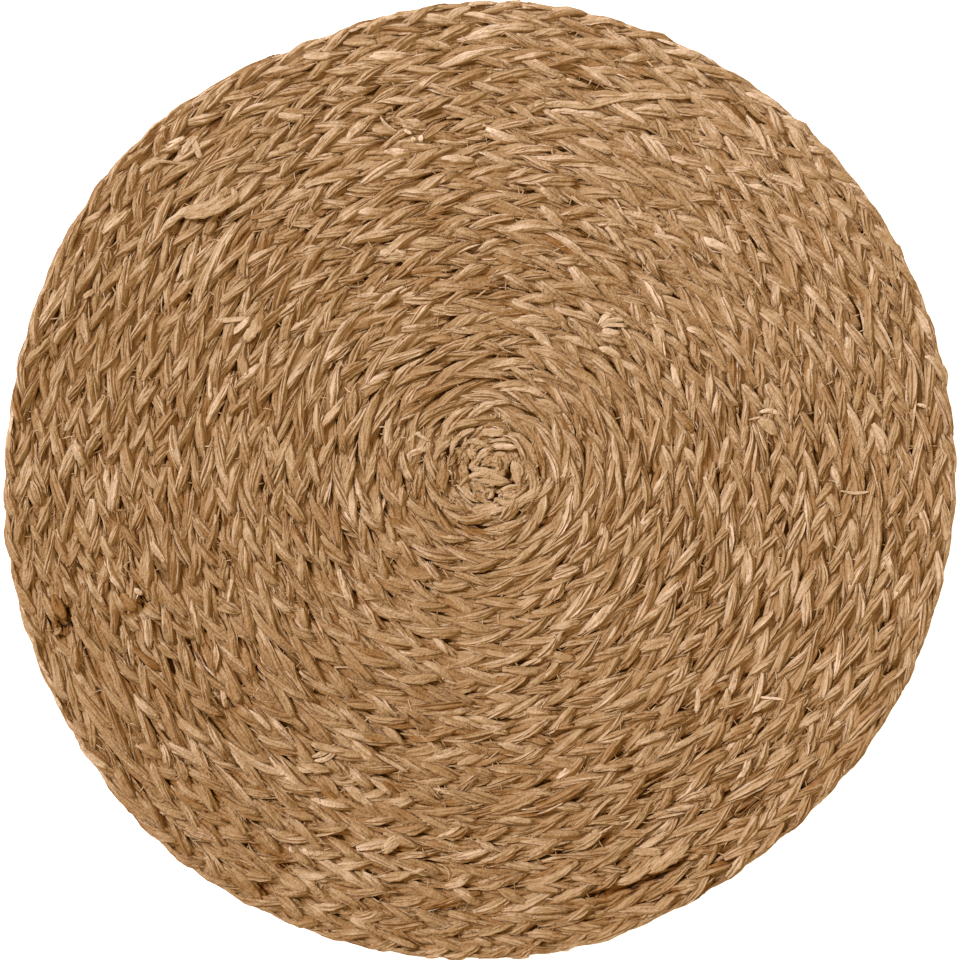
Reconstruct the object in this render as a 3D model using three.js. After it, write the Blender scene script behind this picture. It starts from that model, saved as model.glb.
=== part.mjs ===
// A round table mat: one long three-strand plait of dried leaf, wound flat in a spiral from an eye near the
// middle and sewn edge to edge, so that the whole mat is one piece. Millimetres, +Z up, underside on Z = 0.

import * as THREE from "three";

const MAT_RADIUS = 190;
const TURNS = 21; // of the plait, from the eye to the rim
const CROWN_HEIGHT = 6; // the top of a plaited row
const GROOVE_HEIGHT = 4.2; // the bottom of the groove between two rows
const RIM_SHOULDER = { inset: 1.2, height: 4.4 };
const RIM_EDGE_HEIGHT = 2.6; // where the outermost row is widest
const RIM_FOOT_INSET = 1.4; // the rim curls in to its flat underside by this much
const EYE = new THREE.Vector2(4, 5); // the spiral starts here, a little off the middle of the outline
const TAIL_ANGLE = 115; // degrees counter-clockwise from +X, where the plait's tail is tucked in
const TAIL_SHARE = 0.12; // of a turn, over which the plait runs out and the rows step outwards
const FIRST_STEPPED_TURN = 6; // the rows inside this one are a plain spiral
const STATIONS = 60; // sections to a turn
const STRAW = 0xa47d56;

// How far the rim stands out from MAT_RADIUS, by degrees counter-clockwise from +X.
const RIM_BULGES = [
  { angle: 0, bulge: 0.2 },
  { angle: 40, bulge: 1.8 },
  { angle: 85, bulge: 1.0 },
  { angle: 112, bulge: -3.6 },
  { angle: 140, bulge: 1.4 },
  { angle: 172, bulge: -1.4 },
  { angle: 205, bulge: 0.0 },
  { angle: 234, bulge: 2.4 },
  { angle: 275, bulge: 0.6 },
  { angle: 310, bulge: -3.0 },
  { angle: 340, bulge: -1.0 },
];

// The rim's radius in a direction, eased between the rows of the table.
function rimRadius(degrees) {
  const angle = THREE.MathUtils.euclideanModulo(degrees, 360);
  const next = RIM_BULGES.find((row) => row.angle > angle) ?? RIM_BULGES[0];
  const last = RIM_BULGES.findLast((row) => row.angle <= angle);
  const span = THREE.MathUtils.euclideanModulo(next.angle - last.angle, 360);
  const eased = THREE.MathUtils.smoothstep(angle - last.angle, 0, span);
  return MAT_RADIUS + THREE.MathUtils.lerp(last.bulge, next.bulge, eased);
}

// The edge of the plait after some turns, as a share of the way from the eye to the rim. Near the eye it is a
// plain spiral. Further out it runs more and more in rings that each step outwards by a row at the tail.
function edgeShare(turn) {
  const whole = Math.floor(turn);
  const step = THREE.MathUtils.smoothstep(turn - whole, 1 - TAIL_SHARE, 1);
  const ring = whole + 1 + step;
  const stepped = THREE.MathUtils.smoothstep(turn, FIRST_STEPPED_TURN, TURNS - 2);
  return Math.min(1, THREE.MathUtils.lerp(turn, ring, stepped) / TURNS);
}

// A point beside the plait's edge, at a height. The plait runs clockwise as it winds outwards.
function besideEdge(turn, inset, height) {
  const share = edgeShare(turn);
  const degrees = TAIL_ANGLE + (TURNS - turn) * 360;
  const radius = rimRadius(degrees) * share - inset;
  const angle = THREE.MathUtils.degToRad(degrees);
  const centre = EYE.clone().multiplyScalar(1 - share);
  return new THREE.Vector3(
    centre.x + radius * Math.cos(angle),
    centre.y + radius * Math.sin(angle),
    height,
  );
}

// A point on the plait's edge: the groove between two turns, which becomes the shoulder of the rim.
function groovePoint(turn) {
  const onRim = THREE.MathUtils.clamp(1 - (1 - edgeShare(turn)) * TURNS, 0, 1);
  const inset = RIM_SHOULDER.inset * onRim;
  const height = THREE.MathUtils.lerp(GROOVE_HEIGHT, RIM_SHOULDER.height, onRim);
  return besideEdge(turn, inset, height);
}

// A point on the crown of the turn that starts at an edge. The crown sinks where the tail narrows.
function crownPoint(turn) {
  const middle = groovePoint(turn).lerp(groovePoint(turn + 1), 0.5);
  const width = Math.min(1, (edgeShare(turn + 1) - edgeShare(turn)) * TURNS);
  return middle.setZ(THREE.MathUtils.lerp(middle.z, CROWN_HEIGHT, width));
}

// The mat as one closed surface: a ridge for each turn of the plait, a rounded rim and a flat underside.
function plaitedMat() {
  const points = [];
  const faces = [];
  const add = (point) => points.push(point) - 1;
  // A corner may be used twice where the plait runs out to a point, and that triangle is left out.
  const triangle = (a, b, c) => {
    if (a !== b && b !== c && c !== a) faces.push(a, b, c);
  };
  const quad = (a, b, c, d) => {
    triangle(a, b, c);
    triangle(a, c, d);
  };

  // The grooves between the turns, out to the shoulder of the rim, and the crowns halfway between them.
  const groove = [];
  const crown = [];
  const rimStart = (TURNS - 1) * STATIONS;
  for (let i = 0; i < TURNS * STATIONS; i++) groove.push(add(groovePoint(i / STATIONS)));
  for (let i = 0; i < rimStart; i++) crown.push(add(crownPoint(i / STATIONS)));
  groove.push(groove[rimStart]); // the tail ends where the last turn began
  crown.push(groove[rimStart]);
  for (let i = 0; i < rimStart; i++) {
    quad(groove[i], groove[i + 1], crown[i + 1], crown[i]);
    quad(crown[i], crown[i + 1], groove[i + STATIONS + 1], groove[i + STATIONS]);
  }

  // The eye, a shallow dimple inside the first turn.
  const eye = [...groove.slice(0, STATIONS + 1).reverse(), crown[0]];
  const outline = eye.map((i) => new THREE.Vector2(points[i].x, points[i].y));
  for (const [a, b, c] of THREE.ShapeUtils.triangulateShape(outline, [])) {
    triangle(eye[a], eye[b], eye[c]);
  }

  // The rim, from its shoulder over its widest line to its foot, and the flat underside.
  const centre = add(new THREE.Vector3(0, 0, 0));
  const widest = [];
  const foot = [];
  for (let i = 0; i < STATIONS; i++) {
    const turn = TURNS - 1 + i / STATIONS;
    widest.push(add(besideEdge(turn, 0, RIM_EDGE_HEIGHT)));
    foot.push(add(besideEdge(turn, RIM_FOOT_INSET, 0)));
  }
  for (let i = 0; i < STATIONS; i++) {
    const next = (i + 1) % STATIONS;
    quad(groove[rimStart + i], groove[rimStart + i + 1], widest[next], widest[i]);
    quad(widest[i], widest[next], foot[next], foot[i]);
    triangle(foot[i], foot[next], centre);
  }

  const geometry = new THREE.BufferGeometry().setFromPoints(points);
  geometry.setIndex(faces);
  geometry.computeBoundingBox();
  const middle = geometry.boundingBox.getCenter(new THREE.Vector3());
  geometry.translate(-middle.x, -middle.y, 0);
  geometry.computeVertexNormals();
  return geometry;
}

const straw = new THREE.MeshStandardMaterial({ color: STRAW, roughness: 0.85, metalness: 0 });
const mat = new THREE.Mesh(plaitedMat(), straw);
mat.name = "plait_mat";

const placemat = new THREE.Group();
placemat.add(mat);

export default placemat;
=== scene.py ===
"""A round placemat: a three-strand plait of dried leaf, wound in a spiral and sewn edge to edge.

Each strand of the plait is a bundle of thin leaves. Its body is a few broad strips that follow it over and
under the other two, all the way from the tail at the rim to the eye. Wherever a strand shows on top, in a
slanting lobe, loose leaves lie along it. A plain thin disc closes the bottoms of the gaps. It hides the
strands' lower strips, so from below little shows but the disc and the rim's leaves.

Lengths are in millimetres until a mesh is made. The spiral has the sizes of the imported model.
"""

import math

import bpy
import numpy as np
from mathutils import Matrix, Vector


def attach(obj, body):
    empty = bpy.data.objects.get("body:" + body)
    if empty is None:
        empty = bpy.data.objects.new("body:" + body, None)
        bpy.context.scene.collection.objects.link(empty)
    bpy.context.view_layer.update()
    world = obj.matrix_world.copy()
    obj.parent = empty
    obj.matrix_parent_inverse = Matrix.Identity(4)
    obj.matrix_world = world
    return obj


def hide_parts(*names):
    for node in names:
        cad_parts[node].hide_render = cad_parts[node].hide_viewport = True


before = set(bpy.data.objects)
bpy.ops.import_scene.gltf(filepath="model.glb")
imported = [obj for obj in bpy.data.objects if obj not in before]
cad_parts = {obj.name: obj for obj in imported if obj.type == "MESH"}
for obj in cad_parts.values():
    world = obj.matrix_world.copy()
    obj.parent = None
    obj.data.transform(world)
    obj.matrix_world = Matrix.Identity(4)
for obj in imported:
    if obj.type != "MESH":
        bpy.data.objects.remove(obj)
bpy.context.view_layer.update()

MM = 0.001
SEED = 20

# The spiral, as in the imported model.
MAT_RADIUS = 190
TURNS = 21
EYE = np.array([4.0, 5.0])
TAIL_ANGLE = 115
TAIL_SHARE = 0.12
FIRST_STEPPED_TURN = 6
# How far the rim stands out from MAT_RADIUS, by degrees counter-clockwise from +X.
RIM_BULGES = {
    0: 0.2, 40: 1.8, 85: 1.0, 112: -3.6, 140: 1.4, 172: -1.4,
    205: 0.0, 234: 2.4, 275: 0.6, 310: -3.0, 340: -1.0,
}

# The plait.
STRANDS = 3
PERIOD = 51.0  # the length in which a strand crosses over and back
SWING = 2.7  # how far a strand's middle swings to each side of the row
MID_HEIGHT = 3.0
HALF_ROW = 4.5
ROW_TOP = 5.55  # the upper face along a row's middle
GROOVE_DEPTH = 0.6  # and how much lower it is between two rows
NARROWEST, WIDEST = 0.15, 1.15  # the half width of a row, as shares of HALF_ROW
STRAND_HALF_WIDTH = 2.3
STRAND_HALF_THICK = 0.95
UPPER_STRIPS = 2  # across the upper face of a strand
LOWER_STRIPS = 2

# How a strand lies through half a period, by degrees of its phase. It crosses the row's middle at 0 and 180.
# Between them it passes under another strand, comes up at the row's edge and shows as a lobe on top.
STRAND_PHASES = [0, 40, 75, 105, 135, 160, 180]
STRAND_HEIGHTS = [0.0, -1.7, -0.2, 0.85, 1.1, 0.8, 0.0]  # above MID_HEIGHT
LEAN_PHASES = [0, 60, 120, 180]
LEANS = [-0.35, 0.35, 0.05, 0.35]  # radians, up towards the row's edge

# The loose leaves of a lobe lie between these phases. The tables give the lobe's middle line at shares of
# that way: how far it is from the row's middle, how high, and half of its width.
LOBE_START, LOBE_STOP = math.radians(60), math.radians(190)
LOBE_SHARES = [-0.4, -0.1, 0.3, 0.6, 0.85, 1.05]
LOBE_PLACES = [4.3, 4.0, 3.2, 2.0, 0.6, -0.5]
LOBE_HEIGHTS = [3.8, 4.3, 5.0, 5.25, 5.1, 4.4]
LOBE_HALF_WIDTHS = [0.9, 1.4, 2.1, 2.2, 1.8, 1.1]
LOBE_CROWN = 0.6  # how far the lobe's sides lie below its middle line

# Leaves of the outermost row bend down over the rim where they are this far from the row's middle.
RIM_BEND = 3.2
RIM_REACH = 1.3  # and they go out this much further
RIM_SCALLOP = 0.8  # more or less at a lobe and between two lobes
RIM_EDGE_HEIGHT = 2.6  # the rim is widest here
RIM_TUCK = 1.6  # and goes in by this much at its foot
RIM_DROP = 0.9  # how far a leaf falls for each millimetre that it would go past RIM_BEND
RIM_DROP_REACH = 1.8  # for no more than this many of them
RIM_EASE = 0.5  # of a turn, over which a row becomes the outermost one

# The plait's start. Its first turns are a little narrower, and the leaves of the innermost part are listed
# one by one.
PLAIT_END = 0.7  # turns from the eye
NARROW_TURNS = 8
NARROW_EASE = 4
NARROW_SHARE = 0.1

# The underside is flattened on the table.
LOWEST = 0.1
SOFTNESS = 0.7  # the height over which it flattens

# Gaps where the plait is pushed apart: from, to, width and depth. The last seven are in the eye.
GAPS = [
    ((-121.6, 99.6), (-116.4, 103.0), 4.2, 4.6),
    ((-113.4, 103.2), (-104.2, 103.6), 1.6, 2.0),
    ((-104.2, 103.6), (-96.4, 109.6), 1.8, 2.4),
    ((-36.5, 142.0), (-33.5, 143.2), 2.2, 2.4),
    ((-166.6, -59.4), (-165.2, -53.2), 4.4, 4.6),
    ((-140.6, -53.2), (-134.8, -50.2), 3.4, 3.6),
    ((-101.0, -89.6), (-97.8, -88.4), 3.4, 3.6),
    ((-94.6, -87.2), (-91.4, -89.0), 3.0, 3.2),
    ((-82.8, -151.4), (-77.4, -153.2), 3.4, 1.9),
    ((-91.2, -161.8), (-85.2, -163.8), 3.8, 2.0),
    ((94.0, -83.4), (95.4, -87.0), 2.6, 2.6),
    ((59.6, -114.9), (63.8, -115.5), 2.2, 2.4),
    ((67.8, -117.3), (71.2, -118.3), 2.4, 2.4),
    ((-38.4, -149.9), (-34.2, -149.3), 2.2, 2.6),
    ((44.7, -165.2), (58.2, -162.0), 2.0, 2.8),
    ((58.2, -162.0), (71.0, -158.0), 2.4, 3.2),
    ((71.0, -158.0), (78.2, -154.0), 2.4, 3.2),
    ((78.2, -154.0), (85.4, -147.6), 2.0, 2.8),
    ((74.9, -164.8), (79.0, -163.6), 2.0, 2.2),
    ((-0.7, 6.4), (5.5, 4.4), 1.3, 1.8),
    ((7.0, -3.2), (13.2, -1.4), 1.8, 2.6),
    ((-9.2, 10.0), (-8.6, 0.6), 1.3, 1.8),
    ((-8.8, -4.2), (-2.0, -10.2), 1.2, 1.6),
    ((5.4, 11.3), (15.0, 11.3), 1.3, 1.8),
    ((12.0, 4.0), (12.6, 0.6), 1.1, 1.6),
    ((1.0, 16.9), (7.0, 17.0), 1.1, 1.6),
]

UP = np.array([0.0, 0.0, 1.0])
PAINTED_LIGHT_SLOPE = (0.10, 0.34, 0.0)  # painted light, paler towards the mat's upper right: tone for each metre
RIDGE_PAINTED_LIGHT = 0.16  # painted highlight and shade: how much paler a leaf's ridges are than its edges
FIBRE_TONE = 0.6  # how strongly the fibres mark a leaf
BLOTCH_TONE = 0.22  # how strongly weathering does
TONE_START = 0.42  # the tone, with all of those, of the darkest colour
STRIP_SHADED_TONE = 0.36  # a strand's strips, darker as painted shade
DEEP_SHADED_TONE = 0.4  # the loose leaves between them, darker as painted shade
TOP_TONE = 0.5  # the loose leaves on top
GAP_PAINTED_SHADE = 0.18  # painted shade: how much darker a leaf is for each millimetre that a gap presses it down
SHARP_ANGLE = math.radians(100)  # a leaf has crisp edges and a soft crown

rng = np.random.default_rng(SEED)


def smooth(x):
    """Eases 0 to 1, flat at both ends."""
    x = np.clip(x, 0, 1)
    return x * x * (3 - 2 * x)


def wander(at, step, size):
    """Smooth random values along a line, with a new value every step."""
    at = np.asarray(at, dtype=float) / step
    first = math.floor(at.min())
    knots = rng.normal(0, size, math.ceil(at.max()) - first + 2)
    i = np.floor(at).astype(int) - first
    ease = smooth(at - np.floor(at))
    return knots[i] * (1 - ease) + knots[i + 1] * ease


def from_segment(points, start, end):
    """How far flat points are from a straight line between two points."""
    start, way = np.array(start), np.subtract(end, start)
    share = np.clip((points - start) @ way / (way @ way), 0, 1)
    return np.linalg.norm(points - start - share[..., None] * way, axis=-1)


def unit(vectors):
    """The vectors at length 1."""
    return vectors / np.linalg.norm(vectors, axis=-1, keepdims=True)


def column(values):
    """One value for each ribbon, the same at all of its stations."""
    return values[:, None]


# ---------------------------------------------------------------- the spiral


def rim_radius(degrees):
    """The rim's radius in each direction, eased between the rows of the table."""
    angles = np.array(list(RIM_BULGES), dtype=float)
    bulges = np.array(list(RIM_BULGES.values()))
    angles, bulges = np.append(angles, 360), np.append(bulges, bulges[0])
    degrees = np.mod(degrees, 360)
    i = np.clip(np.searchsorted(angles, degrees, "right") - 1, 0, len(angles) - 2)
    ease = smooth((degrees - angles[i]) / (angles[i + 1] - angles[i]))
    return MAT_RADIUS + bulges[i] + (bulges[i + 1] - bulges[i]) * ease


def edge_share(turn):
    """The plait's edge after some turns, as a share of the way from the eye to the rim."""
    whole = np.floor(turn)
    ring = whole + 1 + smooth((turn - whole - 1 + TAIL_SHARE) / TAIL_SHARE)
    stepped = smooth((turn - FIRST_STEPPED_TURN) / (TURNS - 2 - FIRST_STEPPED_TURN))
    return np.minimum(1, (turn + (ring - turn) * stepped) / TURNS)


def edge_point(turn):
    """The plait's edge after some turns. It runs clockwise as it winds outwards."""
    share = edge_share(turn)
    degrees = TAIL_ANGLE + (TURNS - turn) * 360
    radius = rim_radius(degrees) * share
    angle = np.radians(degrees)
    centre = EYE * (1 - share)[:, None]
    return centre + radius[:, None] * np.stack([np.cos(angle), np.sin(angle)], 1)


class Spiral:
    """The middle line of the plait, by its length from the tail at the rim."""

    def __init__(self):
        rim = edge_point(np.linspace(TURNS - 1, TURNS, 721))
        self.shift = (rim.min(0) + rim.max(0)) / 2
        self.turn = np.linspace(TURNS - 1, 0.0, 720 * (TURNS - 1))
        inner, outer = edge_point(self.turn), edge_point(self.turn + 1)
        self.points = (inner + outer) / 2 - self.shift
        self.half_width = np.linalg.norm(outer - inner, axis=1) / 2
        steps = np.linalg.norm(np.diff(self.points, axis=0), axis=1)
        self.at = np.concatenate([[0], np.cumsum(steps)])
        along = unit(np.gradient(self.points, axis=0))
        self.outward = np.stack([along[:, 1], -along[:, 0]], 1)
        self.length = np.interp(-PLAIT_END, -self.turn, self.at)
        grid = np.arange(0, self.at[-1] + 10, 5.0)
        self.drift = np.interp(self.at, grid, wander(grid, 60, 0.8))

    def read(self, v, values):
        return np.interp(v, self.at, values)

    def bend_over_rim(self, v, x, z):
        """Places in the plait, with those past the outermost row's shoulder bent down round the rim."""
        on_rim = smooth((self.read(v, self.turn) - TURNS + 2) / RIM_EASE + 0.5)
        over = np.maximum(x - RIM_BEND, 0) * on_rim
        lobes = np.cos(STRANDS * (2 * np.pi * v / PERIOD + self.read(v, self.drift) - np.pi / 2))
        reach = RIM_REACH + RIM_SCALLOP * lobes
        x = x - over + reach * (1 - np.exp(-over / reach))
        z = z - RIM_DROP * np.minimum(over, RIM_DROP_REACH)
        foot = smooth((RIM_EDGE_HEIGHT - z) / RIM_EDGE_HEIGHT)
        return x - RIM_TUCK * on_rim * foot * smooth(x - RIM_BEND + 1), z

    def lay(self, v, x, z):
        """World points, in mm, of places in the plait: v along it, x outwards and z up.

        The rows are narrower at the tail and near the eye.
        """
        v, x, z = np.broadcast_arrays(v, x, z)
        x, z = self.bend_over_rim(v, x, z)
        points = np.stack([self.read(v, self.points[:, i]) for i in (0, 1)], -1)
        outward = unit(np.stack([self.read(v, self.outward[:, i]) for i in (0, 1)], -1))
        share = np.clip(self.read(v, self.half_width) / HALF_ROW, NARROWEST, WIDEST)
        near_eye = smooth((NARROW_TURNS - self.read(v, self.turn)) / NARROW_EASE)
        share = share * (1 - NARROW_SHARE * near_eye)
        flat = points + outward * (x * share)[..., None]
        height = MID_HEIGHT + (z - MID_HEIGHT) * np.minimum(1, np.sqrt(share))
        return np.concatenate([flat, height[..., None]], -1)


spiral = Spiral()


# ---------------------------------------------------------------- meshes


def above_table(z):
    """Heights, with those below the table's top raised to just over it, smoothly."""
    over = z - LOWEST
    flattened = SOFTNESS * np.exp(np.minimum(over - SOFTNESS, 0) / SOFTNESS)
    return LOWEST + np.where(over > SOFTNESS, over, flattened)


def press_gaps(points):
    """Pushes points down where there is a gap in the plait. Returns how far."""
    pressed = np.zeros(points.shape[:-1])
    for start, end, width, depth in GAPS:
        pressed += depth * np.exp(-((2 * from_segment(points[..., :2], start, end) / width) ** 2))
    points[..., 2] -= pressed
    return pressed


class Ribbons:
    """Many closed ribbons of leaf, gathered into one mesh. Gaps don't reach the ones that lie over them."""

    def __init__(self, over_gaps=False):
        self.over_gaps = over_gaps
        self.points, self.faces, self.leaf, self.tone = [], [], [], []
        self.count = 0

    def add(self, path, shape, tone, roll=0.0):
        """Ribbons along paths of (ribbons, stations, 3) in mm.

        shape is (ribbons, stations, corners, 2): how far each corner is to the right of the path and above
        it, clockwise as seen from behind. roll raises the right side, in radians.
        """
        ribbons, stations, corners = shape.shape[:3]
        along = np.gradient(path, axis=1)
        side = unit(np.cross(along, UP))
        up = unit(np.cross(side, along))
        roll = np.broadcast_to(roll, path.shape[:2])[..., None]
        side, up = side * np.cos(roll) + up * np.sin(roll), up * np.cos(roll) - side * np.sin(roll)
        points = path[:, :, None] + shape[..., :1] * side[:, :, None] + shape[..., 1:] * up[:, :, None]
        pressed = 0.0 if self.over_gaps else press_gaps(points)
        points[..., 2] = above_table(points[..., 2])

        starts = self.count + corners * stations * np.arange(ribbons)
        ring = np.arange(corners)
        a = starts[:, None, None] + corners * np.arange(stations - 1)[:, None] + ring
        b = a - ring + (ring + 1) % corners
        self.faces.append(np.stack([a, b, b + corners, a + corners], -1).reshape(-1, 4))
        self.faces.append(starts[:, None] + ring[::-1])
        self.faces.append(starts[:, None] + corners * (stations - 1) + ring)
        self.points.append(points.reshape(-1, 3))

        steps = np.linalg.norm(np.diff(path, axis=1), axis=-1)
        reach = np.concatenate([np.zeros((ribbons, 1)), np.cumsum(steps, 1)], 1)
        leaf = np.empty(points.shape)
        leaf[..., 0] = shape[..., 0]
        leaf[..., 1] = reach[..., None]
        leaf[..., 2] = rng.random((ribbons, 1, 1))
        self.leaf.append(leaf.reshape(-1, 3))
        tones = np.broadcast_to(tone, (ribbons, stations))[..., None]
        # Painted highlight and shade: a leaf's ridges are paler and its edges darker. Painted shade darkens
        # it where a gap presses it down.
        crown = np.clip(shape[..., 1] / shape[..., 1].max(-1, keepdims=True), 0, 1)
        self.tone.append((tones + RIDGE_PAINTED_LIGHT * (crown - 0.5) - GAP_PAINTED_SHADE * pressed).ravel())
        self.count += points.shape[0] * stations * corners

    def piece(self, name, material):
        """The mesh object, with how each point lies on its leaf and how pale the leaf is, with its painted
        highlight and shade.
        """
        mesh = make_mesh(name, np.concatenate(self.points), self.faces, material)
        leaf = mesh.attributes.new("leaf", "FLOAT_VECTOR", "POINT")
        leaf.data.foreach_set("vector", np.concatenate(self.leaf).astype(np.float32).ravel())
        tone = mesh.attributes.new("tone", "FLOAT", "POINT")
        tone.data.foreach_set("value", np.concatenate(self.tone).astype(np.float32))
        return add_piece(name, mesh)


def make_mesh(name, points, faces, material):
    """A mesh from points in mm and arrays of faces. All faces of one array have as many corners."""
    mesh = bpy.data.meshes.new(name)
    mesh.vertices.add(len(points))
    mesh.vertices.foreach_set("co", (points * MM).astype(np.float32).ravel())
    corners = np.concatenate([array.ravel() for array in faces])
    sizes = np.concatenate([np.full(len(array), array.shape[1]) for array in faces])
    mesh.loops.add(len(corners))
    mesh.loops.foreach_set("vertex_index", corners.astype(np.int32))
    mesh.polygons.add(len(sizes))
    mesh.polygons.foreach_set("loop_start", (np.cumsum(sizes) - sizes).astype(np.int32))
    mesh.update(calc_edges=True)
    mesh.shade_smooth()
    mesh.set_sharp_from_angle(angle=SHARP_ANGLE)
    mesh.materials.append(material)
    return mesh


def add_to_scene(thing):
    bpy.context.scene.collection.objects.link(thing)


def add_piece(name, mesh):
    """A piece that shows. Every one rides on the mat's only body."""
    piece = bpy.data.objects.new(name, mesh)
    add_to_scene(piece)
    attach(piece, "root")
    return piece


# ---------------------------------------------------------------- materials

# Colours by tone, from the painted shade of the pressed bottoms of gaps to sunbleached leaf.
STRAW_COLORS = (
    (0.0, (0.04, 0.014, 0.003)),
    (0.08, (0.26, 0.11, 0.024)),
    (0.5, (0.438, 0.27, 0.137)),
    (1.0, (0.85, 0.63, 0.46)),
)
# The disc under the gaps: a dark brown, as painted shade.
INSIDE_SHADE_COLORS = (
    (0.3, (0.13, 0.042, 0.004)),
    (0.7, (0.28, 0.13, 0.028)),
)
# The sockets of a Mix node that mixes colours.
MIX_FACTOR, MIX_A, MIX_B, MIX_RESULT = 0, 6, 7, 2


def new_material(name):
    material = bpy.data.materials.new(name)
    material.use_nodes = True
    nodes = material.node_tree.nodes
    return material, nodes, material.node_tree.links, nodes["Principled BSDF"]


def math_node(nodes, links, operation, *values, clamp=False):
    node = nodes.new("ShaderNodeMath")
    node.operation = operation
    node.use_clamp = clamp
    for socket, value in zip(node.inputs, values):
        if isinstance(value, (int, float)):
            socket.default_value = value
        else:
            links.new(value, socket)
    return node.outputs[0]


def noise_texture(nodes, links, vector, scale, detail):
    noise = nodes.new("ShaderNodeTexNoise")
    noise.inputs["Scale"].default_value = scale
    noise.inputs["Detail"].default_value = detail
    links.new(vector, noise.inputs["Vector"])
    return noise.outputs["Fac"]


def color_ramp(nodes, links, factor, stops):
    """The colour for a factor from 0 to 1, by stops of a position and a colour."""
    node = nodes.new("ShaderNodeValToRGB")
    elements = node.color_ramp.elements
    first, *between, last = stops
    for element, (position, color) in ((elements[0], first), (elements[1], last)):
        element.position = position
        element.color = (*color, 1)
    for position, color in between:
        elements.new(position).color = (*color, 1)
    links.new(factor, node.inputs[0])
    return node.outputs[0]


def add_bump(nodes, links, shader, height, distance):
    bump = nodes.new("ShaderNodeBump")
    bump.inputs["Strength"].default_value = 1.0
    bump.inputs["Distance"].default_value = distance * MM
    links.new(height, bump.inputs["Height"])
    links.new(bump.outputs[0], shader.inputs["Normal"])


def fibre_noise(nodes, links):
    """Fibres that run the length of a leaf: noise that is stretched along it, and new on each leaf."""
    leaf = nodes.new("ShaderNodeAttribute")
    leaf.attribute_name = "leaf"
    split = nodes.new("ShaderNodeSeparateXYZ")
    links.new(leaf.outputs["Vector"], split.inputs[0])
    place = nodes.new("ShaderNodeCombineXYZ")
    # Across the leaf, along it, and its own random number.
    for i, stretch in enumerate((0.55, 0.14, 90.0)):
        links.new(math_node(nodes, links, "MULTIPLY", split.outputs[i], stretch), place.inputs[i])
    return noise_texture(nodes, links, place.outputs[0], 1.0, 2.0)


def paint_depth_shade(nodes, links, position, color):
    """The colour, browner towards the bottoms of the gaps: painted shade."""
    height = nodes.new("ShaderNodeSeparateXYZ")
    links.new(position, height.inputs[0])
    depth = nodes.new("ShaderNodeMapRange")
    depth.inputs["From Min"].default_value = 1.0 * MM
    depth.inputs["From Max"].default_value = 4.2 * MM
    depth.inputs["To Min"].default_value = 1.0
    depth.inputs["To Max"].default_value = 0.0
    links.new(height.outputs["Z"], depth.inputs["Value"])
    shade = nodes.new("ShaderNodeMix")
    shade.data_type = "RGBA"
    shade.blend_type = "MULTIPLY"
    links.new(depth.outputs[0], shade.inputs[MIX_FACTOR])
    links.new(color, shade.inputs[MIX_A])
    # The painted shade's colour, multiplied in towards the bottoms of the gaps.
    shade.inputs[MIX_B].default_value = (0.75, 0.54, 0.24, 1)
    return shade.outputs[MIX_RESULT]


def straw_material():
    """Dried leaf. A spot's tone comes from its leaf, its fibres, the blotch of weathering it lies in and a
    painted light that is paler towards the upper right. Painted shade browns it towards the bottoms of the
    gaps.
    """
    material, nodes, links, shader = new_material("straw")
    position = nodes.new("ShaderNodeNewGeometry").outputs["Position"]
    fibre = fibre_noise(nodes, links)
    wrinkle = noise_texture(nodes, links, position, 900.0, 2.0)
    blotch = noise_texture(nodes, links, position, 45.0, 3.0)
    tone = nodes.new("ShaderNodeAttribute")
    tone.attribute_name = "tone"

    pale = math_node(nodes, links, "MULTIPLY_ADD", fibre, FIBRE_TONE, tone.outputs["Fac"])
    pale = math_node(nodes, links, "MULTIPLY_ADD", blotch, BLOTCH_TONE, pale)
    # Painted light: paler towards the mat's upper right.
    painted_light = nodes.new("ShaderNodeVectorMath")
    painted_light.operation = "DOT_PRODUCT"
    links.new(position, painted_light.inputs[0])
    painted_light.inputs[1].default_value = PAINTED_LIGHT_SLOPE
    pale = math_node(nodes, links, "ADD", pale, painted_light.outputs["Value"])
    pale = math_node(nodes, links, "SUBTRACT", pale, TONE_START, clamp=True)
    color = color_ramp(nodes, links, pale, STRAW_COLORS)
    # Painted shade browns the colour towards the bottoms of the gaps.
    links.new(paint_depth_shade(nodes, links, position, color), shader.inputs["Base Color"])

    relief = math_node(nodes, links, "MULTIPLY_ADD", wrinkle, 0.35, fibre)
    add_bump(nodes, links, shader, relief, 1.7)
    shader.inputs["Roughness"].default_value = 0.5
    shader.inputs["Specular IOR Level"].default_value = 0.15
    return material


def inside_shade_material():
    """Brown leaf at the bottoms of the gaps, dark as painted shade."""
    material, nodes, links, shader = new_material("straw_inside_painted_shade")
    position = nodes.new("ShaderNodeNewGeometry").outputs["Position"]
    noise = noise_texture(nodes, links, position, 900.0, 4.0)
    links.new(color_ramp(nodes, links, noise, INSIDE_SHADE_COLORS), shader.inputs["Base Color"])
    add_bump(nodes, links, shader, noise, 1.5)
    shader.inputs["Roughness"].default_value = 0.9
    shader.inputs["Specular IOR Level"].default_value = 0.1
    return material


# ---------------------------------------------------------------- the strands

# A strip's stations in half a period, in degrees of phase: close together where its face shows, and wide
# apart where another strand covers it.
UPPER_STATIONS = np.radians([30, 85, 118, 150])
LOWER_STATIONS = np.radians([-40, 20, 60])


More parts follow.
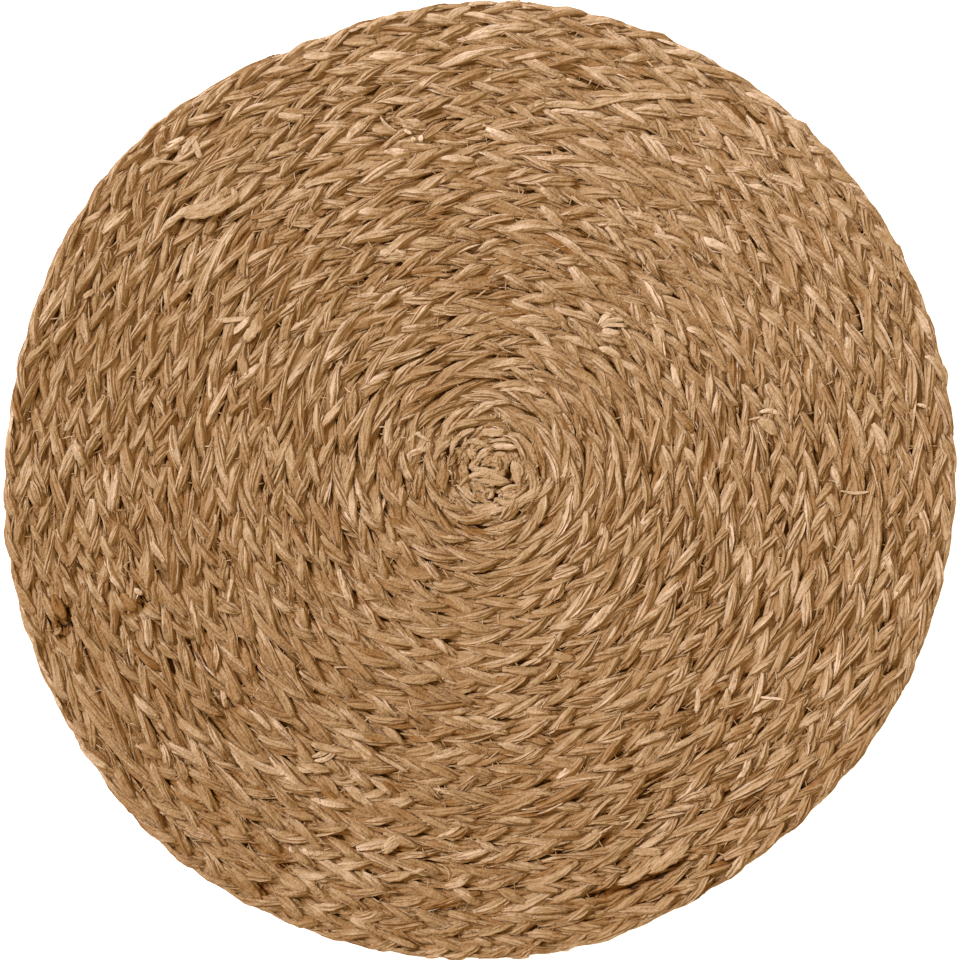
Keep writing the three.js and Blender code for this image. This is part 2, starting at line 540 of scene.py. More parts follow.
class Strand:
    """One strand's place in the plait, and how its bundle varies along it."""

    def __init__(self, number):
        self.grid = np.arange(0, spiral.length, 0.5)
        lag = wander(self.grid, 19, 0.36) + spiral.read(self.grid, spiral.drift)
        phase = 2 * np.pi * (self.grid / PERIOD + number / STRANDS) + lag
        self.phase = np.maximum.accumulate(phase)
        self.swing = SWING * (1 + wander(self.grid, 17, 0.1))
        self.broad = 1 + wander(self.grid, 15, 0.12)

    def at_phases(self, phases):
        """Where along the plait the strand has these phases."""
        return np.interp(phases, self.phase, self.grid)

    def phases_between(self, stations):
        """These stations in every half period, from the tail to the eye."""
        halves = np.arange(math.floor(self.phase[0] / np.pi), math.ceil(self.phase[-1] / np.pi))
        phases = (np.pi * halves[:, None] + stations).ravel()
        return phases[(phases >= self.phase[0]) & (phases <= self.phase[-1])]

    def lie(self, phases):
        """Where the strand's middle line is at these phases: along, outwards and up, and its lean."""
        v = self.at_phases(phases)
        degrees = np.degrees(np.mod(phases, np.pi))
        side = np.sign(np.sin(phases))
        x = np.interp(v, self.grid, self.swing) * np.sin(phases)
        z = MID_HEIGHT + np.interp(degrees, STRAND_PHASES, STRAND_HEIGHTS)
        return v, x, z, side * np.interp(degrees, LEAN_PHASES, LEANS)


def add_strips(ribbons, strand, face, count):
    """The strips of a strand's upper face, 1, or lower face, -1."""
    phases = strand.phases_between(UPPER_STATIONS if face > 0 else LOWER_STATIONS)
    v, x, z, lean = strand.lie(phases)
    broad = np.interp(v, strand.grid, strand.broad)
    for i in range(count):
        width = 2 * STRAND_HALF_WIDTH / count * broad * (1.1 + wander(v, 13, 0.15))
        place = ((2 * i + 1) / count - 1) * STRAND_HALF_WIDTH * broad + wander(v, 15, 0.3)
        height = face * STRAND_HALF_THICK * (1 + wander(v, 10, 0.15))
        path = spiral.lay(v, x + place * np.cos(lean), z + place * np.sin(lean))
        across = np.stack([-width / 2, -width * 0.28, width * 0.24, width / 2], -1) * face
        up = np.stack([height * 0.35, height, height * 0.92, height * 0.35], -1)
        shape = np.stack([across, up], -1)
        # The strips lie low between the lobes and are darker, as painted shade.
        tone = STRIP_SHADED_TONE + rng.normal(0, 0.08) + wander(v, 17, 0.1)
        ribbons.add(path[None], shape[None], tone[None], lean[None])


# ---------------------------------------------------------------- the loose leaves

# What lies on a lobe. number is how many there are to a lobe, and width is in mm. first is where they start
# and reach is how far they go, as shares of the lobe's length. place is where their middle lies across the
# lobe, slant how far they go across it towards the row's middle, and lift how high they lie over it.
LEAF_KINDS = {
    "fill": {
        "number": 4.0, "stations": 5, "width": (1.0, 2.0), "first": (-0.4, 0.6), "reach": (0.4, 0.7),
        "place": (-1.1, 1.3), "slant": (-0.3, 0.5), "lift": (-1.1, -0.5),
    },
    "edge": {
        "number": 1.2, "stations": 6, "width": (0.9, 2.0), "first": (-0.4, -0.1), "reach": (0.45, 0.7),
        "place": (0.2, 1.1), "slant": (-0.3, 0.5), "lift": (-0.2, 0.3),
    },
    "broad": {
        "number": 1.3, "stations": 8, "width": (2.4, 4.2), "first": (-0.05, 0.4), "reach": (0.55, 0.95),
        "place": (-0.4, 0.4), "slant": (0.0, 0.9), "lift": (-0.15, 0.15),
    },
    "narrow": {
        "number": 2.2, "stations": 7, "width": (1.0, 2.2), "first": (-0.1, 0.5), "reach": (0.45, 0.85),
        "place": (-0.9, 0.9), "slant": (-0.2, 1.3), "lift": (-0.15, 0.3),
    },
    "slim": {
        "number": 1.4, "stations": 5, "width": (0.4, 0.8), "first": (-0.1, 0.6), "reach": (0.35, 0.85),
        "place": (-1.0, 1.0), "slant": (-0.8, 2.0), "lift": (0.0, 0.4),
    },
}
DEEP_KINDS = ("fill", "edge")  # these lie deep between the others, and close the gaps


class Lobes:
    """Every stretch of a strand that shows on top."""

    def __init__(self, strand):
        halves = np.arange(math.ceil(strand.phase[0] / np.pi), math.floor(strand.phase[-1] / np.pi) - 1)
        self.start = strand.at_phases(halves * np.pi + LOBE_START)
        self.stop = strand.at_phases(halves * np.pi + LOBE_STOP)
        self.side = np.where(halves % 2 == 0, 1.0, -1.0)
        self.count = len(halves)
        self.aside = rng.normal(0, 0.45, self.count)
        self.turned = rng.normal(0, 1.0, self.count)
        self.lifted = rng.normal(0, 0.25, self.count)
        self.broad = 1 + rng.normal(0, 0.15, self.count)
        self.tone = rng.normal(0, 0.03, self.count)

    def lie(self, which, share, place):
        """Paths on some of the lobes. place is -1 at a lobe's inner side and 1 at the row's edge."""

        def pick(values):
            return column(values[which])

        half_width = np.interp(share, LOBE_SHARES, LOBE_HALF_WIDTHS) * pick(self.broad)
        away = np.interp(share, LOBE_SHARES, LOBE_PLACES) + pick(self.aside)
        away = away + pick(self.turned) * (0.5 - share)
        x = pick(self.side) * (away + place * half_width)
        v = pick(self.start) + (pick(self.stop) - pick(self.start)) * share
        z = np.interp(share, LOBE_SHARES, LOBE_HEIGHTS) + pick(self.lifted) - LOBE_CROWN * place**2
        return v, x, z


def add_leaves(ribbons, lobes, kind, number, stations, width, first, reach, place, slant, lift):
    """One kind of leaf on all the lobes of a strand."""
    which = np.repeat(np.arange(lobes.count), np.floor(number + rng.random(lobes.count)).astype(int))
    count = len(which)
    u = np.linspace(0, 1, stations)

    def within(span):
        return rng.uniform(*span, (count, 1))

    def varied(size):
        return rng.normal(0, size, (count, 1))

    share = within(first) + within(reach) * u
    across_lobe = within(place) - within(slant) * (u - 0.5) + varied(0.16) * 4 * u * (1 - u)
    v, x, z = lobes.lie(which, share, across_lobe)
    taper = np.sin(np.pi * np.clip(u, 0.05, 0.95)) ** rng.uniform(0.25, 0.75, (count, 1))
    z = z + within(lift) - 0.45 * (1 - taper) + rng.normal(0, 0.1, (count, stations))
    wide = within(width) * taper * (1 + rng.normal(0, 0.12, (count, stations)))
    thick = 0.22 + 0.26 * wide

    # The corners of the section, as shares of the width and of the thickness. A broad leaf has two ridges.
    if kind == "broad":
        across = [-0.5, -0.36, -0.17, varied(0.05), 0.2, 0.38, 0.5, 0.0]
        up = [-0.7, 0.6, 1, 0.45, 0.95, 0.6, -0.7, -0.9]
    else:
        across = [-0.5, varied(0.14), 0.5]
        up = [-0.5, 1, -0.5]
    corners = []
    for a, b in zip(across, up):
        uneven = b * (1 + varied(0.3) + rng.normal(0, 0.15, (count, stations)))
        corners.append(np.stack([a * wide, thick * uneven], -1))
    roll = -0.5 * column(lobes.side[which]) * across_lobe + varied(0.15) + varied(0.25) * (u - 0.5)
    # The deep leaves are darker, as painted shade.
    tone = (DEEP_SHADED_TONE if kind in DEEP_KINDS else TOP_TONE) + varied(0.09) + column(lobes.tone[which])
    tone = tone + rng.normal(0, 0.02, (count, stations))
    ribbons.add(spiral.lay(v, x, z), np.stack(corners, 2), tone, roll)


def build_strands(strands, material):
    """Two pieces for each strand: its body with the deep leaves, and the leaves on top."""
    pieces = []
    for number, strand in enumerate(strands, 1):
        body, top = Ribbons(), Ribbons()
        add_strips(body, strand, 1, UPPER_STRIPS)
        add_strips(body, strand, -1, LOWER_STRIPS)
        lobes = Lobes(strand)
        for kind, row in LEAF_KINDS.items():
            add_leaves(body if kind in DEEP_KINDS else top, lobes, kind, **row)
        pieces.append(body.piece(f"strand_{number}", material))
        pieces.append(top.piece(f"leaves_{number}", material))
    return pieces


def build_rim_leaves(material):
    """Leaves that wrap round the edge of the outermost row."""
    count, stations = 1000, 5
    u = np.linspace(-1, 1, stations)
    round_once = np.interp(-(TURNS - 2), -spiral.turn, spiral.at)
    v = column(rng.uniform(0, round_once, count)) + column(rng.uniform(3.5, 7, count)) * u
    slant = column(rng.normal(0, 0.6, count))
    x = column(rng.uniform(3.1, 4.9, count)) + slant * u
    z = column(rng.uniform(3.2, 4.9, count)) + 0.3 * (1 - u**2)
    ribbons = Ribbons()
    shape = thread_shape(rng.uniform(0.9, 1.8, count), count, stations, 1 - 0.5 * u**4, crown=0.35)
    ribbons.add(spiral.lay(v, x, z), shape, TOP_TONE + column(rng.normal(0, 0.1, count)), roll=-0.5)
    return ribbons.piece("rim_leaves", material)


# ---------------------------------------------------------------- leaves laid one by one

# Loose ends, folds and single leaves that catch the eye: width, tone, height of the middle, and the points
# that the leaf follows.
ODD_LEAVES = [
    # The curled lobe, twig and stubs at the upper left.
    (2.6, 0.64, 6.4, [(-127.8, 98.2), (-122.8, 102.8), (-116.6, 107.4), (-110.4, 109.6)]),
    (3.6, 0.56, 6.6, [(-118.2, 106.8), (-111.0, 108.0), (-104.0, 111.6), (-101.0, 116.4)]),
    (4.0, 0.52, 6.9, [(-117.4, 104.6), (-110.0, 106.2), (-103.0, 108.8), (-97.6, 112.4), (-98.4, 116.4)]),
    (2.2, 0.64, 6.2, [(-113.6, 135.4), (-112.8, 131.8), (-111.0, 127.9)]),
    (1.1, 0.52, 6.0, [(-131.4, 127.2), (-122.6, 126.4), (-113.0, 125.2)]),
    (2.0, 0.62, 5.9, [(-157.8, 72.6), (-153.4, 75.6)]),
    # A leaf folded back on itself.
    (2.0, 0.66, 6.0, [(-105.6, 63.5), (-98.2, 63.7), (-91.6, 64.6)]),
    (2.0, 0.68, 6.2, [(-91.0, 65.4), (-94.8, 61.4), (-99.2, 57.6)]),
    (3.8, 0.51, 5.9, [(-85.0, 66.6), (-88.8, 61.4), (-93.8, 55.2)]),
    # Short pale ends among the rows at the top.
    (1.7, 0.82, 6.1, [(-27.4, 135.0), (-25.6, 135.9)]),
    (1.7, 0.82, 6.1, [(-23.8, 134.6), (-23.2, 137.2)]),
    (1.1, 0.76, 6.0, [(-30.4, 139.4), (-27.0, 137.6)]),
    (1.3, 0.58, 6.0, [(-39.6, 144.6), (-37.0, 140.8), (-32.6, 138.2)]),
    # Two tufts left of the eye.
    (1.1, 0.72, 6.1, [(-28.5, 15.2), (-25.9, 18.4), (-23.1, 18.7)]),
    (1.1, 0.70, 6.2, [(-26.3, 19.0), (-22.7, 17.0), (-19.1, 15.0)]),
    (2.0, 0.66, 6.1, [(-27.1, 7.0), (-28.2, 9.6), (-25.4, 11.2), (-19.9, 12.9)]),
    # A pale fan of strips.
    (2.0, 0.76, 6.2, [(46.8, 61.4), (50.2, 65.2), (54.1, 68.9)]),
    (1.5, 0.72, 6.2, [(47.3, 61.1), (52.0, 63.6), (58.5, 63.6)]),
    (1.5, 0.68, 6.1, [(47.8, 60.6), (52.6, 61.8), (58.6, 61.2)]),
    (2.2, 0.74, 6.1, [(48.6, 59.6), (51.8, 58.8), (55.8, 58.4)]),
    (2.6, 0.62, 5.9, [(47.2, 52.6), (51.8, 51.2), (56.4, 48.0)]),
    (2.2, 0.70, 5.9, [(76.6, 46.4), (77.6, 41.2), (79.8, 35.6)]),
    (2.4, 0.66, 5.9, [(68.0, 66.8), (70.8, 61.6), (73.6, 54.6)]),
    # A curled tuft and the thin fibre by it.
    (1.8, 0.74, 6.3, [(111.2, 27.0), (115.2, 27.6), (120.0, 26.0)]),
    (3.6, 0.56, 6.1, [(110.3, 24.6), (114.0, 22.2), (118.4, 17.8)]),
    (0.8, 0.62, 6.3, [(106.5, 23.8), (111.0, 24.8), (115.4, 24.4)]),
    # A strip with beads of wrinkles, right of the eye.
    (2.2, 0.64, 6.1, [(52.8, 18.6), (53.8, 10.6), (54.6, 4.0), (55.8, -3.6)]),
    # Ends that stand out at the right rim.
    (1.6, 0.70, 5.8, [(177.2, 49.2), (180.2, 48.2), (183.2, 46.4)]),
    (1.2, 0.76, 5.8, [(173.8, 30.1), (176.4, 29.5), (179.4, 28.0)]),
    (3.2, 0.60, 5.6, [(179.6, 46.2), (179.7, 40.4), (178.7, 33.8)]),
    (1.0, 0.68, 6.1, [(143.0, -4.2), (149.0, -5.2), (155.4, -4.6)]),
    # A long strand and short pale pieces at the top.
    (2.6, 0.53, 6.1, [
        (19.0, 148.4), (31.0, 149.6), (44.0, 149.2), (54.6, 151.9), (68.0, 153.0), (85.0, 152.4),
    ]),
    (1.8, 0.74, 6.0, [(25.9, 146.0), (33.4, 146.8), (41.5, 145.8)]),
    (3.4, 0.58, 6.0, [(39.5, 135.2), (46.0, 133.6), (52.8, 130.4)]),
    (1.2, 0.72, 6.1, [(64.2, 136.7), (67.4, 132.9), (71.0, 128.1)]),
    (1.2, 0.68, 6.0, [(66.4, 137.0), (70.0, 132.9), (73.4, 128.6)]),
    (1.1, 0.66, 5.9, [(68.4, 136.8), (72.4, 132.4), (75.8, 127.6)]),
    # Brown leaves and dark gaps at the left.
    (4.2, 0.12, 6.0, [(-169.8, -45.6), (-167.6, -50.8), (-165.0, -55.4)]),
    (1.8, 0.52, 5.7, [(-169.2, -61.6), (-166.8, -58.8)]),
    (3.8, 0.16, 6.0, [(-142.8, -45.2), (-140.0, -49.0), (-136.8, -51.6)]),
    (1.9, 0.76, 6.0, [(-137.4, -43.2), (-134.4, -45.6)]),
    (1.8, 0.78, 6.2, [(-102.8, -82.4), (-101.9, -86.2), (-101.4, -90.4)]),
    (3.6, 0.46, 6.1, [(-99.9, -79.8), (-98.2, -84.6), (-95.7, -88.4)]),
    (1.8, 0.74, 6.0, [(-91.9, -91.6), (-87.0, -95.4), (-83.1, -100.0)]),
    (4.2, 0.48, 6.0, [(-79.6, -156.8), (-74.6, -160.2), (-68.2, -162.8)]),
    (1.8, 0.78, 6.1, [(-75.8, -146.0), (-73.6, -148.4)]),
    (1.8, 0.78, 6.1, [(-70.4, -146.6), (-67.6, -149.6)]),
    # Folded tufts at the bottom left.
    (1.9, 0.68, 6.2, [(-67.0, -110.2), (-62.4, -108.6), (-57.4, -105.0)]),
    (1.8, 0.68, 6.2, [(-66.2, -111.8), (-61.0, -110.8), (-56.6, -107.2)]),
    (3.4, 0.62, 6.1, [(-51.2, -104.0), (-47.0, -107.8), (-42.0, -111.8)]),
    (1.5, 0.62, 6.0, [(-41.4, -109.0), (-35.4, -112.4), (-28.6, -116.4)]),
    (2.0, 0.68, 6.0, [(-43.8, -118.9), (-39.6, -121.6), (-35.0, -125.4)]),
    (4.2, 0.62, 6.3, [(-38.6, -148.0), (-35.0, -144.4), (-30.6, -142.0)]),
    # A stub, a leaf and a pale fibre at the right.
    (1.9, 0.68, 6.2, [(86.9, -82.8), (86.7, -87.6), (86.0, -92.8)]),
    (2.4, 0.60, 6.1, [(98.5, -82.8), (98.3, -86.8), (97.3, -91.4)]),
    (0.9, 0.88, 6.3, [(109.6, -86.3), (116.0, -86.7), (122.2, -87.6)]),
    (0.9, 0.66, 6.1, [(46.8, -141.0), (50.2, -139.2), (53.6, -137.2)]),
    # Broad leaves above the long gap at the bottom.
    (4.2, 0.54, 6.2, [(66.2, -156.6), (74.0, -151.4), (79.0, -148.2), (83.6, -144.6)]),
    (3.3, 0.55, 6.1, [(53.4, -160.8), (60.0, -158.6), (66.0, -154.2), (72.2, -148.6)]),
    (3.0, 0.58, 6.0, [(44.7, -153.6), (50.6, -151.4), (56.5, -147.8)]),
    (2.4, 0.64, 6.0, [(63.2, -146.4), (68.6, -143.9), (74.8, -139.9)]),
]

# The start of the plait, coiled up at the eye, in the same way.
EYE_LEAVES = [
    (2.6, 0.56, 5.4, [(-4.9, 13.0), (-3.2, 10.4), (-2.3, 7.8)]),
    (2.8, 0.52, 5.5, [(-0.8, 9.0), (1.4, 10.2), (3.9, 10.8)]),
    (2.6, 0.50, 5.4, [(-4.2, 4.6), (-2.2, 6.4), (-0.3, 7.7)]),
    (2.4, 0.52, 5.5, [(0.4, 5.8), (4.6, 7.1), (9.2, 6.2)]),
    (2.4, 0.51, 5.4, [(4.6, 8.8), (8.8, 10.0), (11.6, 5.6)]),
    (1.8, 0.56, 5.5, [(-3.6, 16.0), (0.6, 14.6), (3.8, 12.6)]),
    (2.0, 0.53, 5.3, [(-7.6, 8.4), (-6.2, 4.6), (-4.6, 1.4)]),
    # A sheaf of four across the middle.
    (2.2, 0.58, 5.9, [(-6.0, 0.2), (-1.1, 2.4), (3.3, 1.9), (7.3, 0.9), (11.6, -0.6)]),
    (2.0, 0.60, 6.1, [(-3.2, 4.4), (2.0, 3.9), (6.4, 2.8), (10.2, 2.4)]),
    (2.2, 0.52, 5.9, [(-1.8, 0.2), (3.3, -0.6), (7.3, -1.2), (12.4, -0.9)]),
    (1.2, 0.56, 6.0, [(-9.1, -3.3), (-6.4, -0.4), (-4.4, 2.0)]),
    # The pale rod and the strips that arch over it.
    (2.0, 0.72, 6.1, [(5.0, 13.3), (10.2, 13.3), (15.3, 12.9)]),
    (1.0, 0.60, 5.9, [(3.2, 14.8), (7.3, 16.0), (10.8, 15.9), (13.8, 14.7)]),
    (0.9, 0.64, 6.2, [(8.6, 17.9), (11.7, 17.2), (14.5, 15.3), (16.3, 12.4), (17.6, 9.6), (18.4, 6.4)]),
    (0.8, 0.56, 6.0, [(12.2, 16.3), (14.9, 13.4), (16.2, 10.4), (16.9, 6.9)]),
    (3.0, 0.54, 5.9, [(0.4, 19.6), (4.8, 18.9), (10.0, 18.9)]),
    (2.0, 0.58, 5.8, [(-11.6, 9.6), (-10.4, 14.6), (-6.9, 18.4), (-1.8, 20.4)]),
    # The pointed leaf.
    (3.0, 0.56, 5.9, [(13.4, 8.0), (14.1, 3.6), (15.4, -2.0)]),
    # Strips and a small loop below.
    (1.2, 0.60, 6.0, [(-9.6, -1.6), (-6.7, -4.6), (-3.9, -7.2), (-0.2, -9.0)]),
    (1.3, 0.58, 5.9, [(-7.8, -1.6), (-4.5, -4.8), (-1.2, -8.4)]),
    (1.0, 0.58, 5.8, [(-8.2, -4.8), (-4.9, -8.4), (-1.2, -10.9)]),
    (1.2, 0.56, 5.8, [(2.8, -4.2), (1.5, -6.2), (2.6, -8.6), (4.8, -8.6)]),
    (1.6, 0.52, 5.7, [(4.9, -4.4), (4.4, -6.4), (3.0, -7.4)]),
    (1.8, 0.54, 5.6, [(6.8, -5.2), (10.8, -3.2), (15.3, -2.6), (18.6, -2.4)]),
    (1.7, 0.60, 5.8, [(8.7, -6.0), (12.6, -6.3), (15.6, -5.0)]),
    (2.4, 0.51, 5.7, [(5.6, -7.3), (10.8, -9.4), (15.3, -8.9), (20.0, -6.4)]),
    (3.4, 0.56, 5.9, [(12.2, -11.6), (17.0, -8.0), (21.0, -5.2), (24.0, -0.6)]),
    (2.4, 0.54, 5.8, [(-3.5, -12.0), (2.4, -10.8), (8.0, -9.6)]),
    (2.0, 0.52, 5.7, [(0.2, -14.2), (5.5, -12.2), (11.4, -11.0)]),
]

# Short leaves round the eye's middle, in layers: height, count, radii, widths and lengths.
EYE_LAYERS = (
    (4.5, 70, (0.5, 12.0), (1.2, 2.4), (3.5, 8.0)),
    (5.2, 90, (1.0, 13.5), (1.2, 2.2), (3.5, 8.0)),
    (5.75, 170, (1.0, 24.0), (0.4, 0.9), (1.2, 3.5)),
)
EYE_MIDDLE = (3.4, 4.6)
EYE_STRETCH = 1.05  # how much longer the coil is up and down than across
EYE_TIGHTEST = 4  # the smallest radius that a leaf is bent to


def curve_through(points, stations):
    """Evenly spaced points on a smooth curve through a few points, and the curve's length."""
    points = np.array(points)
    knots = np.arange(len(points))
    slopes = np.gradient(points, axis=0)
    u = np.linspace(0, knots[-1], 40)
    i = np.minimum(u.astype(int), knots[-1] - 1)
    t = (u - i)[:, None]
    fine = (
        points[i] * (1 + 2 * t) * (1 - t) ** 2 + slopes[i] * t * (1 - t) ** 2
        + points[i + 1] * t**2 * (3 - 2 * t) + slopes[i + 1] * t**2 * (t - 1)
    )
    reach = np.concatenate([[0], np.cumsum(np.linalg.norm(np.diff(fine, axis=0), axis=1))])
    even = np.linspace(0, reach[-1], stations)
    return np.stack([np.interp(even, reach, fine[:, k]) for k in (0, 1)], 1), reach[-1]


def lay_by_hand(ribbons, rows):
    """Creased leaves from a table. Their ends are tucked in between the leaves of the plait."""
    for width, tone, height, points in rows:
        stations = 5 + 2 * len(points)
        flat, length = curve_through(points, stations)
        u = np.linspace(-1, 1, stations)
        z = height - 0.3 - min(1.2, 0.12 * length) * u**4 + rng.normal(0, 0.06, stations)
        taper = (1 - rng.uniform(0.45, 0.9) * np.abs(u) ** 3) * (1 + rng.normal(0, 0.08, stations))
        thick = 0.2 + 0.1 * width
        across = np.outer(1.2 * width * taper, [-0.5, -0.25, 0.03, 0.28, 0.5, 0.0])
        up = thick * np.array([0, 1, 0.5, 0.95, 0, -0.6]) * (1 + rng.normal(0, 0.12, (stations, 6)))
        path = np.column_stack([flat, z])
        roll = wander(np.arange(stations), 3, 0.12)
        shape = np.stack([across, up], -1)
        tones = tone + rng.normal(0, 0.02, (1, stations))
        ribbons.add(path[None], shape[None], tones, roll[None])


def build_hand_leaves(material):
    ribbons = Ribbons(over_gaps=True)
    lay_by_hand(ribbons, ODD_LEAVES)
    lay_by_hand(ribbons, EYE_LEAVES)
    return ribbons.piece("hand_leaves", material)


def build_eye(material):
    """Crumpled short leaves that fill the coil under the eye's own leaves, and crumbs of leaf over them."""
    ribbons = Ribbons()
    for height, count, radii, widths, lengths in EYE_LAYERS:
        for _ in range(count):
            radius = rng.uniform(*radii)
            angle = rng.uniform(0, 2 * np.pi)
            length = rng.uniform(*lengths)
            turn = angle + (np.array([-0.5, 0, 0.5]) * length / max(radius, EYE_TIGHTEST))
            spread = radius + rng.normal(0, 0.7, 3)
            x = EYE_MIDDLE[0] + spread * np.cos(turn)
            y = EYE_MIDDLE[1] + EYE_STRETCH * spread * np.sin(turn)
            width = rng.uniform(*widths)
            tone = rng.normal(0.48, 0.08)
            middle = height + rng.normal(0, 0.3)
            lay_by_hand(ribbons, [(width, tone, middle, np.column_stack([x, y]))])
    return ribbons.piece("eye", material)


# ---------------------------------------------------------------- stitches and stray fibres


def surface_height(x):
    """About how high the rows' upper face is, by the way outwards from a row's middle."""
    from_middle = np.abs(np.mod(x + HALF_ROW, 2 * HALF_ROW) - HALF_ROW) / HALF_ROW
    return ROW_TOP - GROOVE_DEPTH * from_middle**4


def thread_shape(width, count, stations, taper, crown=1.1):
    """A thin three-cornered section. crown is its height as a share of half its width."""
    half = width[:, None] / 2 * taper
    corners = [(-1, 0.0), (0, crown), (1, 0.0)]
    shape = np.stack([np.stack([half * a, half * b], -1) for a, b in corners], 2)
    return np.broadcast_to(shape, (count, stations, 3, 2))


def build_stitches(material):
    """The thread that sews each row to the next one, where it crosses the groove between them."""
    spacing, shown, height = 5.5, 0.45, 4.75
    second_row = np.interp(-(TURNS - 2), -spiral.turn, spiral.at)
    v = np.arange(second_row, spiral.length, spacing)
    v = v + rng.normal(0, 1.2, len(v))
    v = v[rng.random(len(v)) < shown][:, None]
    count, stations = len(v), 5
    u = np.linspace(-1, 1, stations)
    half_length = rng.uniform(1.1, 2.2, (count, 1))
    x = HALF_ROW + rng.normal(0, 0.3, (count, 1)) + half_length * u
    v = v + rng.normal(0, 0.7, (count, 1)) * u + rng.normal(0, 0.25, (count, 1)) * u**2
    z = height + rng.normal(0, 0.15, (count, 1)) - 0.7 * u**2
    ribbons = Ribbons()
    shape = thread_shape(rng.uniform(0.35, 0.55, count), count, stations, 1 - 0.3 * u**4)
    ribbons.add(spiral.lay(v, x, z), shape, 0.46 + rng.normal(0, 0.08, (count, 1)))
    return ribbons.piece("stitches", material)


def build_stray_fibres(material):
    """Thin fibres that have come loose and lie over the rows at all angles."""
    count, stations = 1500, 5
    u = np.linspace(-1, 1, stations)
    v = column(rng.uniform(60, spiral.length, count))
    x = column(rng.uniform(-HALF_ROW, HALF_ROW, count))
    spread = np.where(rng.random(count) < 0.8, 20.0, 60.0)
    angle = column(np.radians(rng.normal(0, 1, count) * spread))
    half_length = column(rng.uniform(1.5, 4.5, count))
    forward = half_length * u
    aside = column(rng.normal(0, 0.1, count)) * half_length * (1 - u**2) * 2
    v = v + forward * np.cos(angle) - aside * np.sin(angle)
    x = x + forward * np.sin(angle) + aside * np.cos(angle)
    on_rim = spiral.read(v, spiral.turn) > TURNS - 2
    x = np.where(on_rim, np.minimum(x, HALF_ROW - 0.8), x)
    z = surface_height(x) + column(rng.uniform(-0.6, -0.1, count)) - 0.5 * u**4
    ribbons = Ribbons()
    shape = thread_shape(rng.uniform(0.3, 0.6, count), count, stations, 1 - 0.6 * u**4, crown=0.6)
    ribbons.add(spiral.lay(v, x, z), shape, TOP_TONE + column(rng.normal(0, 0.12, count)))
    return ribbons.piece("stray_fibres", material)


# ---------------------------------------------------------------- the disc under the gaps


def build_inside(material):
    """A plain thin disc that stands for the plait's lower bulk and closes the gaps between the strands."""
    top, bottom, inset = 1.1, 0.5, 3.2
    rings = np.linspace(0, 1, 24)
    angles = np.radians(np.arange(0, 360, 3))
    rim = rim_radius(np.degrees(angles)) - inset
    flat = (rings[1:, None] * rim)[..., None] * np.stack([np.cos(angles), np.sin(angles)], 1) - spiral.shift
    n = len(angles)
    layers = [np.dstack([flat, np.full(flat.shape[:2], z)]).reshape(-1, 3) for z in (top, bottom)]
    count = len(layers[0])
    points = np.concatenate(layers + [[[*-spiral.shift, top], [*-spiral.shift, bottom]]])
    around, after = np.arange(n), (np.arange(n) + 1) % n
    faces = []
    for layer in range(2):
        turned = slice(None) if layer == 0 else slice(None, None, -1)
        for r in range(len(rings) - 2):
            a, b = layer * count + r * n + around, layer * count + r * n + after
            faces.append(np.stack([a, a + n, b + n, b], 1)[:, turned])
        pole = np.full(n, 2 * count + layer)
        faces.append(np.stack([pole, layer * count + around, layer * count + after], 1)[:, turned])
    outer = (len(rings) - 2) * n
    a, b = outer + around, outer + after
    faces.append(np.stack([a, a + count, b + count, b], 1))
    return add_piece("plait_inside", make_mesh("plait_inside", points, faces, material))


# ---------------------------------------------------------------- camera, floor and light


VIEW_WIDTH = 0.3828  # metres, that the camera sees across at the plait's middle
LENS, SENSOR = 100.0, 36.0
FLOOR_HALF = 3.0


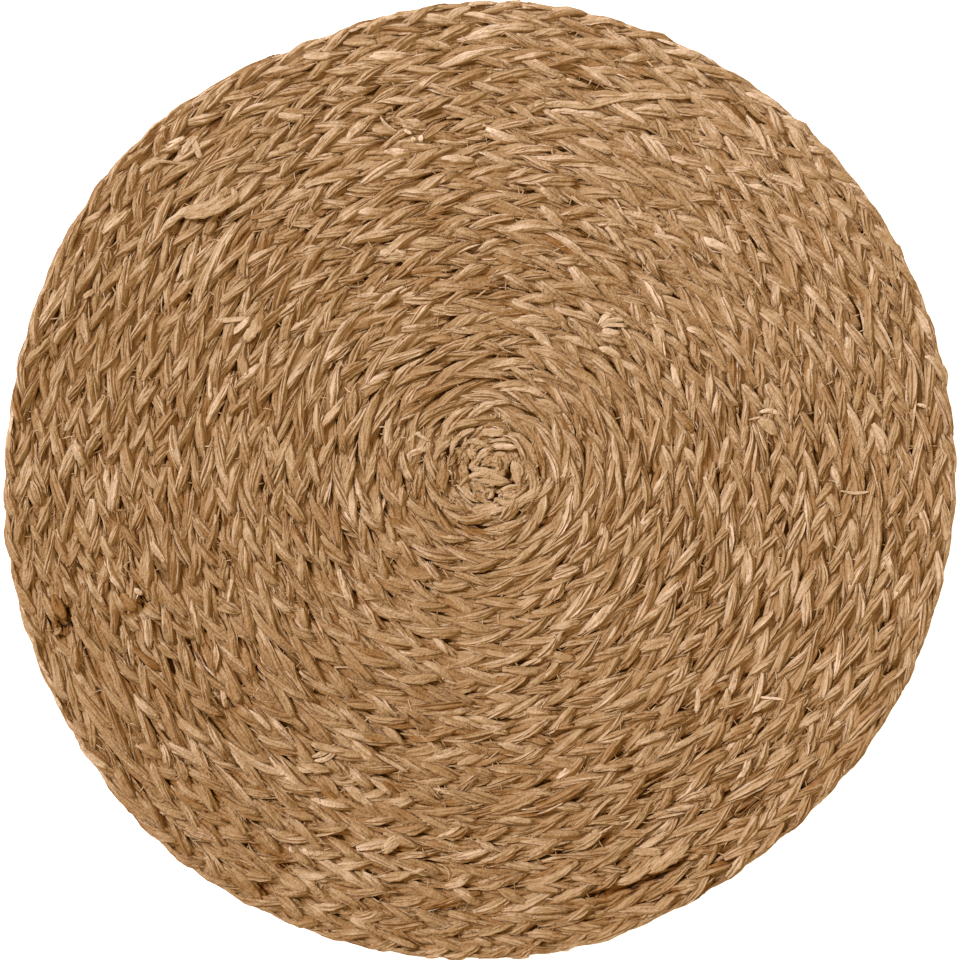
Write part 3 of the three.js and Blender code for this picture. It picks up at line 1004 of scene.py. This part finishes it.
def build_floor():
    floor = bpy.data.meshes.new("floor")
    corners = [(x * FLOOR_HALF, y * FLOOR_HALF, 0) for x, y in ((-1, -1), (1, -1), (1, 1), (-1, 1))]
    floor.from_pydata(corners, [], [(0, 1, 2, 3)])
    floor_object = bpy.data.objects.new("floor", floor)
    add_to_scene(floor_object)
    material, _, _, shader = new_material("pale_floor")
    shader.inputs["Base Color"].default_value = (0.92, 0.92, 0.92, 1)
    shader.inputs["Roughness"].default_value = 0.9
    shader.inputs["Emission Color"].default_value = (1, 1, 1, 1)
    shader.inputs["Emission Strength"].default_value = 0.85
    floor.materials.append(material)


def build_camera():
    """Straight above the mat."""
    camera = bpy.data.objects.new("camera", bpy.data.cameras.new("camera"))
    add_to_scene(camera)
    camera.data.lens = LENS
    camera.data.sensor_width = SENSOR
    camera.location = (0, 0, MID_HEIGHT * MM + VIEW_WIDTH * LENS / SENSOR)
    bpy.context.scene.camera = camera


def build_lights():
    """A soft sun from the upper left, a broad lamp beyond the upper edge, and a warm even sky."""
    key_angle, key_height = math.radians(148), math.radians(40)
    sun = bpy.data.objects.new("key", bpy.data.lights.new("key", "SUN"))
    sun.data.energy = 3.2
    sun.data.angle = math.radians(20)
    sun.data.color = (0.90, 1.0, 1.18)
    direction = (
        math.cos(key_angle) * math.cos(key_height),
        math.sin(key_angle) * math.cos(key_height),
        math.sin(key_height),
    )
    sun.rotation_euler = Vector(direction).to_track_quat("Z", "Y").to_euler()
    add_to_scene(sun)

    lamp = bpy.data.objects.new("fill", bpy.data.lights.new("fill", "AREA"))
    lamp.data.energy = 0.25
    lamp.data.size = 0.3
    lamp.location = (0.04, 0.32, 0.5)
    lamp.visible_camera = False
    add_to_scene(lamp)

    world = bpy.data.worlds.new("studio")
    bpy.context.scene.world = world
    world.use_nodes = True
    sky = world.node_tree.nodes["Background"]
    sky.inputs["Color"].default_value = (1, 0.77, 0.4, 1)
    sky.inputs["Strength"].default_value = 0.66
    bpy.context.scene.view_settings.view_transform = "Standard"


build_floor()
build_camera()
build_lights()
straw = straw_material()
inside = build_inside(inside_shade_material())
strands = [Strand(number) for number in range(STRANDS)]
pieces = build_strands(strands, straw)
pieces += [build_rim_leaves(straw), build_eye(straw), build_hand_leaves(straw)]
pieces += [build_stitches(straw), build_stray_fibres(straw)]
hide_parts("plait_mat")
